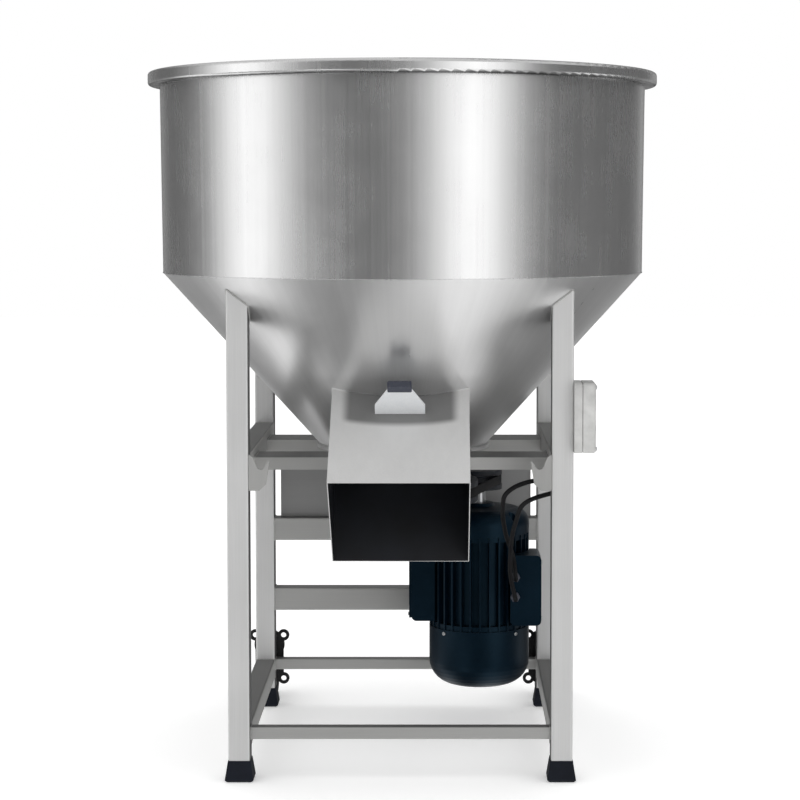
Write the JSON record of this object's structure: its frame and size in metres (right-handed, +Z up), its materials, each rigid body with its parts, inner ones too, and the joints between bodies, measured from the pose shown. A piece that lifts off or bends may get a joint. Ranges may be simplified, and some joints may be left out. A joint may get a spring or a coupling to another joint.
{
  "type": "powder mixer",
  "caption": "Upright powder mixer with a steel hopper, paddle shaft, belt drive, front slide gate and chute, on a square tube frame with rubber feet and rear transport wheels.",
  "frame": {"origin": "on the floor under the hopper's axis", "axes": "+Z up along the paddle shaft, -Y towards the chute, +X right as seen from the chute"},
  "size_m": [0.9349, 0.935, 1.245],
  "materials": {
    "leg_tube": "satin",
    "rail_tube": "satin",
    "panel_sheet": "matt",
    "polished_sheet": "bright brushed",
    "chute_sheet": "satin",
    "zinc_steel": "zinc plated",
    "cast_iron": "painted casting",
    "machined_steel": "ground",
    "motor_paint": "semi gloss",
    "grey_box": "powder coat",
    "rubber_foot": "moulded",
    "black_rubber": "matt",
    "wheel_rubber": "matt",
    "black_plastic": "moulded",
    "black_cast": "satin",
    "green_button": "gloss",
    "red_button": "gloss"
  },
  "bodies": {
    "frame": {"leg_front_left": "leg_tube", "leg_front_right": "leg_tube", "leg_rear_left": "leg_tube", "leg_rear_right": "leg_tube", "foot_front_left": "rubber_foot", "foot_front_right": "rubber_foot", "foot_rear_left": "rubber_foot", "foot_rear_right": "rubber_foot", "front_lower_rail": "rail_tube", "rear_lower_rail": "rail_tube", "side_lower_rail_left": "rail_tube", "side_lower_rail_right": "rail_tube", "side_upper_rail_left": "rail_tube", "side_upper_rail_right": "rail_tube", "rear_middle_rail": "rail_tube", "rear_upper_rail": "rail_tube", "front_support_channel": "rail_tube", "rear_support_channel": "rail_tube", "hook_plate_left": "rail_tube", "hook_plate_right": "rail_tube", "rear_guard_panel": "panel_sheet", "barrel": "polished_sheet", "rim_band": "polished_sheet", "hopper_cone": "polished_sheet", "hopper_floor": "polished_sheet", "discharge_chute": "chute_sheet", "outlet_neck": "zinc_steel", "bearing_housing": "cast_iron", "shaft_bearings": "machined_steel", "shaft_seal": "black_rubber", "assembly_bolts": "zinc_steel", "motor_stator": "motor_paint", "motor_end_bell": "motor_paint", "motor_fan_cowl": "motor_paint", "motor_mount_plate": "rail_tube", "terminal_box": "motor_paint", "terminal_box_lid": "motor_paint", "capacitor_box": "motor_paint", "drive_belt": "black_rubber", "switch_box_base": "grey_box", "switch_box_cover": "grey_box", "cable_glands": "black_plastic", "motor_lead": "black_rubber", "control_lead": "black_rubber", "wheel_brackets": "black_cast"},
    "mixer_rotor": {"main_shaft": "machined_steel", "lower_paddle": "machined_steel", "middle_paddle": "machined_steel", "upper_paddle": "machined_steel", "shaft_end_nuts": "zinc_steel", "driven_pulley": "cast_iron"},
    "motor_rotor": {"motor_shaft": "machined_steel", "motor_pulley": "cast_iron", "cooling_fan": "black_plastic"},
    "slide_gate": {"gate_plate": "zinc_steel", "gate_grip": "black_plastic"},
    "start_button": {"start_button": "green_button"},
    "stop_button": {"stop_button": "red_button"},
    "wheel_left": {"wheel_left": "wheel_rubber"},
    "wheel_right": {"wheel_right": "wheel_rubber"}
  },
  "joints": [
    {"name": "mixer_spin", "type": "hinge", "parent": "frame", "child": "mixer_rotor", "pos_m": [0, 0, 0.474], "axis": [0, 0, 1], "continuous": true},
    {"name": "motor_spin", "type": "hinge", "parent": "frame", "child": "motor_rotor", "pos_m": [0.145, 0.155, 0.474], "axis": [0, 0, 1], "continuous": true},
    {"name": "gate_slide", "type": "slide", "parent": "frame", "child": "slide_gate", "axis": [0, -0.6688, 0.7434], "range_m": [0, 0.095]},
    {"name": "start_press", "type": "slide", "parent": "frame", "child": "start_button", "axis": [-1, 0, 0], "range_m": [0, 0.004], "stiffness_N_per_m": 400},
    {"name": "stop_press", "type": "slide", "parent": "frame", "child": "stop_button", "axis": [-1, 0, 0], "range_m": [0, 0.004], "stiffness_N_per_m": 400},
    {"name": "wheel_left_roll", "type": "hinge", "parent": "frame", "child": "wheel_left", "pos_m": [-0.276, 0.362, 0.054], "axis": [1, 0, 0], "continuous": true},
    {"name": "wheel_right_roll", "type": "hinge", "parent": "frame", "child": "wheel_right", "pos_m": [0.276, 0.362, 0.054], "axis": [1, 0, 0], "continuous": true}
  ],
  "couplings": [
    {"joint": "motor_spin", "follows": "mixer_spin", "ratio": 3.56}
  ]
}
